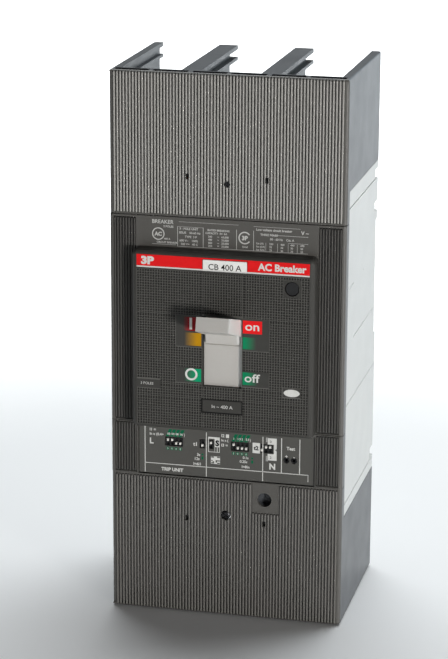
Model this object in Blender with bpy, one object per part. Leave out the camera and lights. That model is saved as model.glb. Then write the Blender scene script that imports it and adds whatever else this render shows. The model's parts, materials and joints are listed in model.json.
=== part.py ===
"""Molded case breaker, three pole, 400 A frame, with tall terminal covers.

The origin is the centre of the flat mounting face. X runs across the poles, the front looks along -Y,
and Z runs up, from the load side to the line side. Dimensions are in millimetres and MM turns them into
Blender's metres. In the side view a point is (depth, height): depth is its distance in front of the
mounting face.
"""

from math import atan2, cos, degrees, hypot, pi, radians, sin

import bmesh
import bpy
from mathutils import Matrix, Vector

MM = 0.001
GAP = 0.3  # between pieces that touch on the real object

# Case
HALF_WIDTH = 69.8
BASE_DEPTH = 94.6
BASE_HALF_HEIGHT = 102.4
SPIGOT_START = 97.7  # beyond this height the terminal covers wrap round the base
POLE_PITCH = 46.67
POLES = (-POLE_PITCH, 0.0, POLE_PITCH)
PARTITION_X = POLE_PITCH / 2
PARTITION_HALF = 1.75
WALL = 3.2
COVER_DEPTH = 103.5
FACE_DEPTH = 103.2
SKIN = 2.4
LIP_BACK = 94.2  # behind the row of slots in a terminal cover's outer end
SLOT_COUNT = 6
SLOT_BRIDGE = 2.4
SLOTS_HALF_WIDTH = 67.6
LIP_DEPTH = 94.9  # where the front covers' side lips end, just clear of the base

# Seams between the front covers, from top to bottom
TOP_END = 163.5
TOP_SEAM = 79.5
MID_SEAM = -45.6
LOW_SEAM = -78.1

# Escutcheon
PLATE_DEPTH = 113.5
PLATE_HALF_WIDTH = 54.0
PLATE_LOW, PLATE_HIGH = -45.7, 61.2
PLATE_WALL = 2.5
SLOT_HALF_WIDTH = 11.6
SLOT_LOW, SLOT_HIGH = -18.0, 24.3

# Handle, in side view
HANDLE_PIVOT = (64.5, 3.1)
HANDLE_TILT = 17.5  # above the horizontal when the breaker is on
SHIELD_DEPTH = 110.7
SHIELD_THICK = 2.0
SHIELD_LOW = -17.8
GRIP_DEPTH = 137.0

# Contact system, in side view
SHAFT = (40.0, -5.0)
SHAFT_RADIUS = 11.0
LEVER_PIN = (44.4, 11.4)
KNEE = (60.5, 4.66)
CRADLE_PIN = (76.0, -8.0)
TRIP_BAR = (88.0, 30.0)
TRIP_BAR_RADIUS = 3.0

# Push-to-trip button and solenoid
BUTTON_X, BUTTON_Z = 40.8, 43.6
BUTTON_RADIUS = 3.9
PLUNGER_X, PLUNGER_DEPTH = 40.0, 91.0

# Trip unit face
TRIP_HALF_WIDTH = 53.0
TRIP_TOP, TRIP_BOTTOM = -47.9, -77.6
TRIP_FACE, TRIP_BACK = 102.0, 76.0
BANK_LOW, BANK_HIGH = -59.6, -54.6
BANK_FRONT = 101.5
KNOB_TRAVEL = 1.0  # either side of the middle
KNOB_PITCH = 2.5
# name, centre, number of knobs, which knobs are up
BANKS = (
    ("switch_long", -31.7, 4, (1, 2)),
    ("switch_t1", -14.5, 1, ()),
    ("switch_short", -9.3, 1, (1,)),
    ("switch_inst", 8.2, 4, (1,)),
    ("switch_neutral", 23.9, 3, (2, 3)),
)
SOCKETS = (("test_socket_plus", 36.2), ("test_socket_minus", 40.7))
SOCKET_Z = -63.3

COLOURS = {
    # name: (colour, roughness, metallic)
    "light_plastic": ((0.69, 0.71, 0.72), 0.5, 0.0),
    "dark_plastic": ((0.075, 0.072, 0.068), 0.45, 0.0),
    "escutcheon_plastic": ((0.045, 0.044, 0.042), 0.4, 0.0),
    "handle_plastic": ((0.56, 0.55, 0.53), 0.45, 0.0),
    "black_plastic": ((0.015, 0.015, 0.015), 0.4, 0.0),
    "white_plastic": ((0.85, 0.85, 0.83), 0.5, 0.0),
    "label": ((0.8, 0.82, 0.82), 0.6, 0.0),
    "board": ((0.02, 0.16, 0.08), 0.5, 0.0),
    "steel": ((0.55, 0.55, 0.56), 0.35, 1.0),
    "copper": ((0.72, 0.36, 0.2), 0.35, 1.0),
    "brass": ((0.75, 0.6, 0.3), 0.3, 1.0),
    "insulation": ((0.32, 0.12, 0.06), 0.6, 0.0),
}


# ---------------------------------------------------------------- scene and helpers


def clear_scene():
    for obj in list(bpy.data.objects):
        bpy.data.objects.remove(obj, do_unlink=True)


def new_collection(name):
    collection = bpy.data.collections.new(name)
    bpy.context.scene.collection.children.link(collection)
    return collection


def make_materials():
    for name, (colour, roughness, metallic) in COLOURS.items():
        material = bpy.data.materials.new(name)
        material.use_nodes = True
        shader = material.node_tree.nodes["Principled BSDF"]
        shader.inputs["Base Color"].default_value = (*colour, 1.0)
        shader.inputs["Roughness"].default_value = roughness
        shader.inputs["Metallic"].default_value = metallic
        material.diffuse_color = (*colour, 1.0)


def box(bm, low, high):
    """A box between two corners (x, y, z), in millimetres."""
    low, high = Vector(low) * MM, Vector(high) * MM
    matrix = Matrix.Translation((low + high) / 2) @ Matrix.Diagonal((*(high - low), 1.0))
    bmesh.ops.create_cube(bm, size=1.0, matrix=matrix)


def rod(bm, start, end, radius, sides=16):
    """A cylinder between two points (x, y, z), in millimetres."""
    start, end = Vector(start) * MM, Vector(end) * MM
    axis = end - start
    matrix = Matrix.Translation((start + end) / 2) @ axis.to_track_quat("Z", "Y").to_matrix().to_4x4()
    bmesh.ops.create_cone(
        bm,
        cap_ends=True,
        segments=sides,
        radius1=radius * MM,
        radius2=radius * MM,
        depth=axis.length,
        matrix=matrix,
    )


def across(bm, centre, x_low, x_high, radius, sides=16):
    """A rod along X through a side-view point."""
    depth, height = centre
    rod(bm, (x_low, -depth, height), (x_high, -depth, height), radius, sides)


def arc(centre, radius, start, end, steps):
    """Points on an arc in the side view, angles in degrees from the forward direction towards up."""
    angles = [radians(start + (end - start) * i / steps) for i in range(steps + 1)]
    return [(centre[0] + radius * cos(a), centre[1] + radius * sin(a)) for a in angles]


def circle(centre, radius, sides=16):
    return arc(centre, radius, 0, 360, sides)[:-1]


def capsule(start, end, start_radius, end_radius, steps=6):
    """The outline of a link: a round end at each side-view point."""
    heading = degrees(atan2(end[1] - start[1], end[0] - start[0]))
    return arc(start, start_radius, heading + 90, heading + 270, steps) + arc(
        end, end_radius, heading - 90, heading + 90, steps
    )


def plate(bm, loops, x_low, x_high):
    """A flat outline in the side view, with any holes, extruded along X between x_low and x_high."""
    data = bpy.data.curves.new("outline", "CURVE")
    data.dimensions = "2D"
    data.fill_mode = "BOTH"
    data.extrude = (x_high - x_low) / 2 * MM
    for loop in loops:
        spline = data.splines.new("POLY")
        spline.points.add(len(loop) - 1)
        for point, (depth, height) in zip(spline.points, loop):
            point.co = (depth * MM, height * MM, 0, 1)
        spline.use_cyclic_u = True
    side_view = Matrix(((0, 0, -1, (x_low + x_high) / 2 * MM), (-1, 0, 0, 0), (0, 1, 0, 0), (0, 0, 0, 1)))
    add_curve(bm, data, side_view)


def add_curve(bm, data, matrix):
    """Adds a curve's filled mesh to bm, with its caps welded on, and removes the curve."""
    curve = bpy.data.objects.new("guide", data)
    bpy.context.scene.collection.objects.link(curve)
    bpy.context.view_layer.update()
    mesh = bpy.data.meshes.new_from_object(curve.evaluated_get(bpy.context.evaluated_depsgraph_get()))
    piece = bmesh.new()
    piece.from_mesh(mesh)
    bmesh.ops.remove_doubles(piece, verts=piece.verts, dist=1e-6)
    bmesh.ops.transform(piece, matrix=matrix, verts=piece.verts)
    bmesh.ops.recalc_face_normals(piece, faces=piece.faces)
    piece.to_mesh(mesh)
    piece.free()
    bm.from_mesh(mesh)
    bpy.data.meshes.remove(mesh)
    bpy.data.objects.remove(curve, do_unlink=True)
    bpy.data.curves.remove(data)


def coil(bm, start, end, radius, wire, turns, steps=10):
    """A wire helix between two points."""
    start, end = Vector(start) * MM, Vector(end) * MM
    axis = end - start
    turned = Matrix.Translation(start) @ axis.to_track_quat("Z", "Y").to_matrix().to_4x4()
    data = bpy.data.curves.new("coil", "CURVE")
    data.dimensions = "3D"
    data.bevel_depth = wire * MM
    data.bevel_resolution = 2
    data.use_fill_caps = True
    spline = data.splines.new("POLY")
    count = turns * steps
    spline.points.add(count)
    for i, point in enumerate(spline.points):
        angle = 2 * pi * i / steps
        point.co = (radius * MM * cos(angle), radius * MM * sin(angle), axis.length * i / count, 1)
    add_curve(bm, data, turned)


def place(name, bm, collection, origin=(0, 0, 0)):
    """Turns bm into an object whose origin is at the given point in millimetres."""
    origin = Vector(origin) * MM
    bmesh.ops.translate(bm, vec=-origin, verts=bm.verts)
    mesh = bpy.data.meshes.new(name)
    bm.to_mesh(mesh)
    bm.free()
    obj = bpy.data.objects.new(name, mesh)
    obj.location = origin
    collection.objects.link(obj)
    return obj


class Piece:
    """A named sub-part: a body, then shapes joined, cut away, fitted into the cuts, and drilled last."""

    def __init__(self, name, material, origin=(0, 0, 0)):
        self.name, self.material, self.origin = name, material, origin
        self.body, self.joined, self.removed = bmesh.new(), bmesh.new(), bmesh.new()
        self.fitted, self.drilled = bmesh.new(), bmesh.new()

    def finish(self, smooth=False):
        obj = place(self.name, self.body, PARTS, self.origin)
        obj.data.materials.append(bpy.data.materials[self.material])
        for step in ("joined", "removed", "fitted", "drilled"):
            extra = getattr(self, step)
            if not extra.verts:
                extra.free()
                continue
            helper = place(f"{self.name}_{step}", extra, HELPERS)
            helper.hide_render = True
            helper.display_type = "WIRE"
            boolean = obj.modifiers.new(step, "BOOLEAN")
            boolean.operation = "UNION" if step in ("joined", "fitted") else "DIFFERENCE"
            boolean.object = helper
            boolean.solver = "EXACT"
            boolean.use_self = True
        if smooth:
            obj.data.shade_smooth()
            obj.data.set_sharp_from_angle(angle=radians(35))
        return obj


# ---------------------------------------------------------------- case


def cut_pole_channels(removed):
    inner_edge = PARTITION_X - PARTITION_HALF
    outer_edge = PARTITION_X + PARTITION_HALF
    wall_face = HALF_WIDTH - 0.1 - WALL
    shelf_start, shelf_depth = 82.3, 49.7
    for low, high in ((-wall_face, -outer_edge), (-inner_edge, inner_edge), (outer_edge, wall_face)):
        box(removed, (low, -BASE_DEPTH - 1, -shelf_start), (high, -4, shelf_start))
        ends = (-BASE_HALF_HEIGHT - 1, BASE_HALF_HEIGHT + 1)
        box(removed, (low, -BASE_DEPTH - 1, ends[0]), (high, -shelf_depth, ends[1]))
    for x in POLES:
        for z in (-91.5, 91.5):
            rod(removed, (x, -shelf_depth - 1, z), (x, -34, z), 7)


def make_base():
    base = Piece("base", "light_plastic")
    half = HALF_WIDTH - 0.1
    box(base.body, (-half, -BASE_DEPTH, -BASE_HALF_HEIGHT), (half, 0, BASE_HALF_HEIGHT))
    cut_pole_channels(base.removed)
    for side in (-1, 1):
        for end in (-1, 1):
            x_pair = sorted((side * (half - WALL - 0.01), side * (half + 1)))
            z_pair = sorted((end * SPIGOT_START, end * (BASE_HALF_HEIGHT + 1)))
            box(base.removed, (x_pair[0], -BASE_DEPTH - 1, z_pair[0]), (x_pair[1], 1, z_pair[1]))
        x_pair = sorted((side * (half - WALL), side * (half + 1)))
        box(base.removed, (x_pair[0], -4.2, -10.5), (x_pair[1], 1, 61.5))
        for low, high in ((67.0, 73.0), (87.0, 93.0), (-89.5, -83.5)):
            box(base.removed, (x_pair[0], -9.0, low), (x_pair[1], 1, high))
    # Partitions stop short where the mechanism, the crossbar and the trip unit cross them.
    box(base.removed, (-30, -BASE_DEPTH - 1, -46), (30, -52, 46))
    box(base.removed, (-30, -60, -20), (30, -27, 20))
    box(base.removed, (-30, -BASE_DEPTH - 1, -79), (30, -75.5, -45))
    for x in (-PARTITION_X, PARTITION_X):
        for z in (-86.5, 86.5):
            rod(base.fitted, (x, -3, z), (x, -30, z), 5.5)
            rod(base.drilled, (x, -40, z), (x, 1, z), 2.75)
            rod(base.drilled, (x, -100, z), (x, -27, z), 4.6)
    for end in (-1, 1):
        z_pair = sorted((end * 96.5, end * BASE_HALF_HEIGHT))
        edge = PARTITION_X
        box(base.fitted, (-edge, -94.3, z_pair[0]), (edge, -86.0, z_pair[1]))
        rod(base.drilled, (0, -96, end * 100.2), (0, -85, end * 100.2), 1.6, 12)
    base.finish()


def cover_shell(piece, low, high):
    """A shallow front cover between two heights: face, side lips and end lips."""
    box(piece.body, (-HALF_WIDTH, -FACE_DEPTH, low), (HALF_WIDTH, -LIP_DEPTH, high))
    inner = HALF_WIDTH - SKIN
    box(piece.removed, (-inner, -FACE_DEPTH + SKIN, low + SKIN), (inner, -LIP_DEPTH + 1, high - SKIN))


def make_mid_cover():
    cover = Piece("mid_cover", "dark_plastic")
    cover_shell(cover, MID_SEAM + GAP / 2, TOP_SEAM - GAP / 2)
    window = PLATE_HALF_WIDTH - 4
    box(cover.removed, (-window, -FACE_DEPTH - 1, -41), (window, -FACE_DEPTH + 4, 57))
    cover.finish()


def make_relay_cover():
    cover = Piece("relay_cover", "dark_plastic")
    cover_shell(cover, LOW_SEAM + GAP / 2, MID_SEAM - GAP / 2)
    window = TRIP_HALF_WIDTH + 0.4
    box(cover.removed, (-window, -FACE_DEPTH - 1, LOW_SEAM - 1), (window, -LIP_DEPTH + 1, TRIP_TOP + GAP))
    cover.finish()


def make_front_plate():
    plate_piece = Piece("front_plate", "escutcheon_plastic")
    back = FACE_DEPTH + GAP
    body = plate_piece.body
    box(body, (-PLATE_HALF_WIDTH, -PLATE_DEPTH, PLATE_LOW), (PLATE_HALF_WIDTH, -back, PLATE_HIGH))
    removed = plate_piece.removed
    inner = PLATE_HALF_WIDTH - PLATE_WALL
    box(
        removed,
        (-inner, -PLATE_DEPTH + PLATE_WALL, PLATE_LOW + PLATE_WALL),
        (inner, -back + 1, PLATE_HIGH - PLATE_WALL),
    )
    box(removed, (-SLOT_HALF_WIDTH, -PLATE_DEPTH - 1, SLOT_LOW), (SLOT_HALF_WIDTH, -100, SLOT_HIGH))
    rod(removed, (BUTTON_X, -PLATE_DEPTH - 1, BUTTON_Z), (BUTTON_X, -108, BUTTON_Z), 4.3, 20)
    box(removed, (-12.0, -PLATE_DEPTH - 1, -33.7), (11.8, -PLATE_DEPTH + 1.5, -25.8))
    box(removed, (-11.9, -PLATE_DEPTH - 1, 50.1), (14.6, -PLATE_DEPTH + 1.5, 58.1))
    obj = plate_piece.finish()
    bevel_outer_edges(obj, 2.6, 3)


def bevel_outer_edges(obj, width, segments):
    """Rounds a box's front edges before anything is cut from it."""
    bm = bmesh.new()
    bm.from_mesh(obj.data)
    front = min(vert.co.y for vert in bm.verts)
    edges = [edge for edge in bm.edges if any(abs(vert.co.y - front) < 1e-6 for vert in edge.verts)]
    bmesh.ops.bevel(bm, geom=edges, offset=width * MM, segments=segments, profile=0.5, affect="EDGES")
    bm.to_mesh(obj.data)
    bm.free()


def make_inserts():
    rating = Piece("rating_plate", "dark_plastic")
    box(rating.body, (-11.7, -PLATE_DEPTH + 0.1, -33.4), (11.5, -PLATE_DEPTH + 1.2, -26.1))
    rating.finish()
    label = Piece("label_insert", "label")
    box(label.body, (-11.6, -PLATE_DEPTH - 0.1, 50.4), (14.3, -PLATE_DEPTH + 1.2, 57.8))
    label.finish()


# ---------------------------------------------------------------- terminal covers


def terminal_cover(name, end):
    """A tall terminal cover: end is 1 for the line side and -1 for the load side."""
    cover = Piece(name, "dark_plastic")
    seam = (TOP_SEAM if end > 0 else -LOW_SEAM) + GAP / 2
    side_wall = 3.2

    def wall(bm, x_low, x_high, depth_low, depth_high, low, high):
        z_pair = sorted((end * low, end * high))
        box(bm, (x_low, -depth_high, z_pair[0]), (x_high, -depth_low, z_pair[1]))

    wall(cover.body, -HALF_WIDTH, HALF_WIDTH, COVER_DEPTH - 2.3, COVER_DEPTH, seam, TOP_END)
    for side in (-1, 1):
        outer, inner = sorted((side * HALF_WIDTH, side * (HALF_WIDTH - side_wall)))
        wall(cover.joined, outer, inner, 0, COVER_DEPTH - 1, SPIGOT_START + GAP, TOP_END)
        wall(cover.joined, outer, inner, LIP_DEPTH, COVER_DEPTH - 1, seam, SPIGOT_START + 2)
        flange = sorted((side * (HALF_WIDTH - 1), side * (HALF_WIDTH - 5.4)))
        wall(cover.joined, *flange, 0, COVER_DEPTH - 1, TOP_END - 2.5, TOP_END)
    wall(cover.joined, 1 - HALF_WIDTH, 5.4 - HALF_WIDTH, 0, COVER_DEPTH - 1, TOP_END - 9, TOP_END - 7)
    wall(cover.joined, 1 - HALF_WIDTH, HALF_WIDTH - 1, LIP_BACK, COVER_DEPTH - 1, TOP_END - 2.5, TOP_END)
    wall(cover.joined, 1 - HALF_WIDTH, HALF_WIDTH - 1, LIP_BACK, LIP_BACK + 1.6, TOP_END - 12, TOP_END)
    pitch = (2 * SLOTS_HALF_WIDTH + SLOT_BRIDGE) / SLOT_COUNT
    for n in range(SLOT_COUNT):
        start = n * pitch - SLOTS_HALF_WIDTH
        stop = start + pitch - SLOT_BRIDGE
        wall(cover.removed, start, stop, LIP_BACK + 1.6, COVER_DEPTH - 2.3, TOP_END - 3, TOP_END + 1)
    for x in (-PARTITION_X, PARTITION_X):
        wall(cover.joined, x - 2.2, x + 2.2, 7, COVER_DEPTH - 1, BASE_HALF_HEIGHT + GAP, TOP_END - 1)
        wall(cover.joined, x - 5.65, x + 5.65, 0, COVER_DEPTH - 1, TOP_END - 2.5, TOP_END)
        wall(cover.joined, x - 1, x + 5.65, 0, COVER_DEPTH - 1, TOP_END - 9, TOP_END - 7)
        wall(cover.removed, x - 1.0, x + 1.0, COVER_DEPTH - 3, COVER_DEPTH + 1, 102.0, 105.4)
    return cover


def make_terminal_covers():
    upper = terminal_cover("upper_terminal_cover", 1)
    rod(upper.removed, (0, -COVER_DEPTH - 1, 100.2), (0, -100, 100.2), 1.9, 16)
    upper.finish()

    lower = terminal_cover("lower_terminal_cover", -1)
    rod(lower.removed, (0, -COVER_DEPTH - 1, -100.2), (0, -100, -100.2), 3.1, 20)
    pad_low, pad_high = -96.7, -78.6
    box(lower.removed, (16.2, -COVER_DEPTH - 1, pad_low), (31.3, -COVER_DEPTH + 0.8, pad_high))
    rod(lower.joined, (23.4, -COVER_DEPTH + 0.9, -88.8), (23.4, -95.1, -88.8), 5.6, 24)
    rod(lower.removed, (23.4, -COVER_DEPTH - 1, -88.8), (23.4, -96.2, -88.8), 4.3, 24)
    lower.finish()


def make_cover_screws():
    for name, z, head in (("upper_cover_screw", 100.2, 1.5), ("lower_cover_screw", -100.2, 2.8)):
        screw = Piece(name, "steel")
        rod(screw.body, (0, -COVER_DEPTH + 0.9, z), (0, -COVER_DEPTH + 3.1, z), head, 20)
        rod(screw.joined, (0, -COVER_DEPTH + 3, z), (0, -87, z), 1.25, 12)
        box(screw.removed, (-0.35, -COVER_DEPTH - 1, z - 3), (0.35, -COVER_DEPTH + 1.6, z + 3))
        screw.finish(smooth=True)


# ---------------------------------------------------------------- handle


def along_handle(reach, offset):
    """A side-view point given by its reach from the pivot along the handle and its offset above it."""
    tilt = radians(HANDLE_TILT)
    return (
        HANDLE_PIVOT[0] + reach * cos(tilt) - offset * sin(tilt),
        HANDLE_PIVOT[1] + reach * sin(tilt) + offset * cos(tilt),
    )


def shield_outline():
    """Two flat wings that meet on the handle's axis; the lower one stands upright when the handle is on."""
    tilt = radians(HANDLE_TILT)
    reach = SHIELD_DEPTH - HANDLE_PIVOT[0]
    drop = HANDLE_PIVOT[1] - SHIELD_LOW

    def wing(distance):
        end = (distance * cos(tilt) - drop * sin(tilt), distance * sin(tilt) + drop * cos(tilt))
        return end, distance / cos(tilt)

    (outer_end, outer_ridge), (inner_end, inner_ridge) = wing(reach), wing(reach - SHIELD_THICK)
    points = [(outer_end[0], outer_end[1]), (outer_ridge, 0), (outer_end[0], -outer_end[1])]
    points += [(inner_end[0], -inner_end[1]), (inner_ridge, 0), (inner_end[0], inner_end[1])]
    return [along_handle(*point) for point in points]


def make_toggle_handle():
    pivot = (0, -HANDLE_PIVOT[0], HANDLE_PIVOT[1])
    handle = Piece("toggle_handle", "handle_plastic", pivot)
    tip = (GRIP_DEPTH - HANDLE_PIVOT[0]) / cos(radians(HANDLE_TILT))
    side = ((38.3, -4), (45, -4), (47, -4.9), (tip, -4.1), (tip, 4.1), (47, 4.9), (45, 4), (38.3, 4))
    lever = [along_handle(*point) for point in side]
    plate(handle.body, [lever], -10.9, 10.9)
    plate(handle.joined, [shield_outline()], -10.9, 10.9)
    root = [(109, 15), (109, 8.2), (113.0, 8.2), (115.0, 15)]
    plate(handle.joined, [root], -9.4, 9.4)
    narrow_ends(handle.body, tip)
    handle.finish()


def narrow_ends(bm, tip):
    """Tapers the grip to its front end and the stem to the width of its socket in the yoke."""
    pivot = Vector((0, -HANDLE_PIVOT[0], HANDLE_PIVOT[1])) * MM
    for vert in bm.verts:
        reach = hypot(vert.co.y - pivot.y, vert.co.z - pivot.z) / MM
        if reach > tip - 1:
            vert.co.x *= 9.8 / 10.9
        elif reach < 46:
            vert.co.x *= 8.0 / 10.9


def make_handle_yoke():
    pivot = (0, -HANDLE_PIVOT[0], HANDLE_PIVOT[1])
    yoke = Piece("handle_yoke", "steel", pivot)
    leg = [HANDLE_PIVOT, along_handle(38, 0)]
    outline = arc(leg[0], 6, HANDLE_TILT + 90, HANDLE_TILT + 270, 8)
    outline += [along_handle(38, -6), along_handle(38, 6)]
    hole = circle(HANDLE_PIVOT, 2.6, 16)
    plate(yoke.body, [outline, hole], -20.8, -19.4)
    plate(yoke.joined, [outline, hole], 19.4, 20.8)
    bridge = [along_handle(*p) for p in ((36.5, -6), (38, -6), (38, 6), (36.5, 6))]
    plate(yoke.joined, [bridge], -20.8, 20.8)
    yoke.finish()


# ---------------------------------------------------------------- mechanism


def make_mechanism_frames():
    for side, name in ((-1, "mechanism_frame_left"), (1, "mechanism_frame_right")):
        frame = Piece(name, "steel")
        low, high = sorted((side * 16.2, side * 17.8))
        outline = [(94, -34), (94, 38), (72, 38), (72, 30), (4.4, 30), (4.4, 14), (52, 14), (52, -20)]
        outline += [(4.4, -20), (4.4, -34)]
        holes = [circle(TRIP_BAR, TRIP_BAR_RADIUS + 0.3)]
        if side > 0:
            holes.append(circle(CRADLE_PIN, 2.5))
        plate(frame.body, [outline] + holes, low, high)
        stub = sorted((side * 17.0, side * 21.2))
        across(frame.joined, HANDLE_PIVOT, *stub, 2.4)
        if side < 0:
            across(frame.joined, CRADLE_PIN, -17, 17.6, 2.2)
        frame.finish()


def make_cradle():
    cradle = Piece("cradle", "steel", (0, -CRADLE_PIN[0], CRADLE_PIN[1]))
    outline = arc((87, -24), 4, 150, 330, 6) + [(89.5, 0), (90.5, 22), (88, 26.5), (84.5, 26.5), (80, 8)]
    outline += arc(CRADLE_PIN, 5, 110, 230, 5)
    plate(cradle.body, [outline, circle(CRADLE_PIN, 2.6)], -1.2, 1.2)
    cradle.finish()


def make_links():
    upper = Piece("upper_link", "steel", (0, -CRADLE_PIN[0], CRADLE_PIN[1]))
    outline = capsule(CRADLE_PIN, KNEE, 4.2, 3.2)
    for bm, low, high in ((upper.body, -13.6, -12.2), (upper.joined, 12.2, 13.6)):
        plate(bm, [outline, circle(CRADLE_PIN, 2.5)], low, high)
    across(upper.joined, KNEE, -14.2, 14.2, 1.5, 12)
    upper.finish()

    lower = Piece("lower_link", "steel", (0, -LEVER_PIN[0], LEVER_PIN[1]))
    outline = capsule(LEVER_PIN, KNEE, 3.6, 6.4)
    for side, bm in ((-1, lower.body), (1, lower.joined)):
        low, high = sorted((side * 10.2, side * 11.6))
        plate(bm, [outline, circle(KNEE, 4.1)], low, high)
        stub = sorted((side * 8.0, side * 11.0))
        across(lower.joined, LEVER_PIN, *stub, 1.9, 12)
    reach = 1 + 5.2 / hypot(KNEE[0] - LEVER_PIN[0], KNEE[1] - LEVER_PIN[1])
    spacer = [LEVER_PIN[i] + reach * (KNEE[i] - LEVER_PIN[i]) for i in (0, 1)]
    across(lower.joined, spacer, -11.0, 11.0, 1.0, 10)
    lower.finish()


def make_main_springs():
    for side, name in ((-1, "main_spring_left"), (1, "main_spring_right")):
        (near, low), (far, high) = along_handle(14, 0), along_handle(36, 0)
        spring = Piece(name, "steel", (0, -HANDLE_PIVOT[0], HANDLE_PIVOT[1]))
        coil(spring.body, (side * 6, -near, low), (side * 6, -far, high), 2.8, 0.55, 7)
        spring.finish()


def make_trip_bar():
    bar = Piece("trip_bar", "insulation", (0, -TRIP_BAR[0], TRIP_BAR[1]))
    across(bar.body, TRIP_BAR, -62, 62, TRIP_BAR_RADIUS, 14)
    depth, height = TRIP_BAR
    box(bar.joined, (BUTTON_X - 1.5, -depth - 2.5, height), (BUTTON_X + 1.5, -depth, BUTTON_Z + 2.4))
    box(bar.joined, (PLUNGER_X - 2, -depth - 7, height - 3), (PLUNGER_X + 2, -depth, height - 0.5))
    box(bar.removed, (-3, -depth - 1.2, height - 5), (3, -depth + 5, height - 0.8))
    bar.finish()


def make_trip_test_button():
    button = Piece("trip_test_button", "black_plastic", (BUTTON_X, -PLATE_DEPTH, BUTTON_Z))
    front = PLATE_DEPTH - 0.5
    rod(button.body, (BUTTON_X, -front, BUTTON_Z), (BUTTON_X, -front + 3.5, BUTTON_Z), BUTTON_RADIUS, 20)
    stem_end = TRIP_BAR[0] + 2.5 + 0.6
    rod(button.joined, (BUTTON_X, -front + 3, BUTTON_Z), (BUTTON_X, -stem_end, BUTTON_Z), 2, 12)
    rod(button.joined, (BUTTON_X, -108.2, BUTTON_Z), (BUTTON_X, -107.2, BUTTON_Z), 5.0, 20)
    button.finish(smooth=True)


# ---------------------------------------------------------------- poles


def make_crossbar():
    depth, height = SHAFT
    bar = Piece("crossbar", "insulation", (0, -depth, height))
    across(bar.body, SHAFT, -64, 64, SHAFT_RADIUS, 24)
    for x in POLES:
        box(bar.removed, (x - 5.3, -60, height - 12), (x + 5.3, -depth - 0.7, height + 12))
    for side in (-1, 1):
        low, high = sorted((side * 8.2, side * 9.8))
        ear = capsule(SHAFT, LEVER_PIN, 9, 4.4)
        plate(bar.joined, [ear], low, high)
        across(bar.removed, LEVER_PIN, low - 1, high + 1, 2.1, 12)
    bar.finish()


def make_contact_arms():
    depth, height = SHAFT
    outline = [
        (42.5, -10), (46, -10), (48.5, -7), (48.5, 50), (46.5, 54), (40.4, 54), (40.4, 46), (42.5, 44),
    ]
    for i, x in enumerate(POLES, 1):
        arm = Piece(f"contact_arm_{i}", "copper", (x, -depth, height))
        plate(arm.body, [outline], x - 4.9, x + 4.9)
        arm.finish()


def make_conductors():
    line = [(50, 75.7), (56, 75.7), (56, 101.5), (50, 101.5), (50, 81.7), (32, 81.7), (32, 42), (38, 42)]
    line += [(38, 45.5), (40, 46), (40, 54), (38, 54.5), (38, 75.7)]
    load = [(50, -75.7), (38, -75.7), (38, -22), (32, -22), (32, -81.7), (50, -81.7), (50, -101.5)]
    load += [(56, -101.5), (56, -75.7)]
    for i, x in enumerate(POLES, 1):
        for name, outline, z in (("line", line, 91.5), ("load", load, -91.5)):
            bar = Piece(f"{name}_conductor_{i}", "copper")
            plate(bar.body, [outline], x - 12.5, x + 12.5)
            rod(bar.removed, (x, -60, z), (x, -48, z), 5.5, 20)
            bar.finish()


def make_braids():
    centre = [(40.0, -34.0), (40.0, -25.0), (43.0, -19.5), (44.6, -15.8)]
    half = 1.3
    outline = [(d - half, z) for d, z in centre] + [(d + half, z) for d, z in reversed(centre)]
    for i, x in enumerate(POLES, 1):
        braid = Piece(f"flexible_braid_{i}", "copper")
        plate(braid.body, [outline], x - 4.9, x + 4.9)
        braid.finish()


def make_arc_chutes():
    plates = 8
    for i, x in enumerate(POLES, 1):
        chute = Piece(f"arc_chute_{i}", "steel")
        box(chute.body, (x - 18, -82, 44), (x - 16.6, -44.5, 74))
        box(chute.joined, (x + 16.6, -82, 44), (x + 18, -44.5, 74))
        for n in range(plates):
            depth = 46 + n * 4.6
            box(chute.joined, (x - 17, -depth - 1.5, 45), (x + 17, -depth, 73))
        box(chute.removed, (x - 7, -90, 40), (x + 7, -40, 60))
        chute.finish()


def make_current_transformers():
    for i, x in enumerate(POLES, 1):
        sensor = Piece(f"current_transformer_{i}", "black_plastic")
        box(sensor.body, (x - 18.5, -47, -73), (x + 18.5, -23, -58))
        box(sensor.removed, (x - 13.5, -39.5, -80), (x + 13.5, -30.5, -50))
        sensor.finish()


# ---------------------------------------------------------------- trip unit


def knob_places(centre, count):
    return [centre + (n - (count - 1) / 2) * KNOB_PITCH for n in range(count)]


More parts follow.
